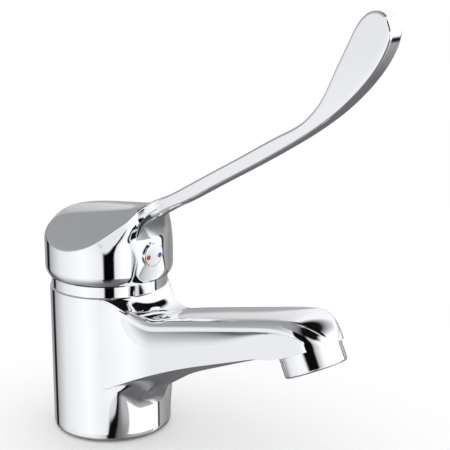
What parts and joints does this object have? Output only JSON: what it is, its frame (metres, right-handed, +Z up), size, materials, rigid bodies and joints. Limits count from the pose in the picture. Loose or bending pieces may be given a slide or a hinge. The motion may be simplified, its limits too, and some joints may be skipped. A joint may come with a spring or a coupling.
{
  "type": "elbow lever tap",
  "caption": "Single-lever basin tap with a long elbow lever ending in an oval paddle, a round barrel body and a low spout with an aerator.",
  "frame": {"origin": "centre of the base on the deck surface that the tap stands on", "axes": "+X along the spout and the closed lever, towards the user; +Z up; -Y is the hot side"},
  "size_m": [0.1705, 0.054, 0.1838],
  "materials": {
    "chrome": "polished",
    "button_chrome": "polished",
    "rubber": "matte",
    "housing_plastic": "satin",
    "rotor_plastic": "satin",
    "grid_plastic": "satin",
    "ceramic": "lapped",
    "steel": "turned",
    "brass": "machined",
    "red_paint": "gloss",
    "blue_paint": "gloss"
  },
  "bodies": {
    "tap": {"body": "chrome", "base_seal": "rubber", "cartridge_housing": "housing_plastic", "cartridge_base": "housing_plastic", "hot_port_seal": "rubber", "cold_port_seal": "rubber", "outlet_port_seal": "rubber", "disc_gasket": "rubber", "fixed_disc": "ceramic", "clamp_nut": "brass", "cover_ring": "chrome", "aerator_shell": "chrome", "aerator_washer": "rubber", "aerator_insert": "grid_plastic", "aerator_strainer": "grid_plastic"},
    "turning_head": {"cartridge_rotor": "rotor_plastic", "stem_pin": "steel"},
    "disc_carrier": {"moving_disc": "ceramic", "disc_coupler": "housing_plastic"},
    "handle": {"lever": "chrome", "stem": "brass", "grub_screw": "steel", "index_plug": "button_chrome", "hot_mark": "red_paint", "cold_mark": "blue_paint"}
  },
  "joints": [
    {"name": "temperature_turn", "type": "hinge", "parent": "tap", "child": "turning_head", "pos_m": [0, 0, 0.061], "axis": [0, 0, 1], "range_deg": [-50, 50]},
    {"name": "lever_lift", "type": "hinge", "parent": "turning_head", "child": "handle", "pos_m": [0, 0, 0.061], "axis": [0, -1, 0], "range_deg": [0, 25]},
    {"name": "disc_slide", "type": "slide", "parent": "turning_head", "child": "disc_carrier", "axis": [1, 0, 0], "range_m": [0, 0.0047]}
  ],
  "couplings": [
    {"joint": "disc_slide", "follows": "lever_lift", "m_per_rad": 0.01066}
  ]
}
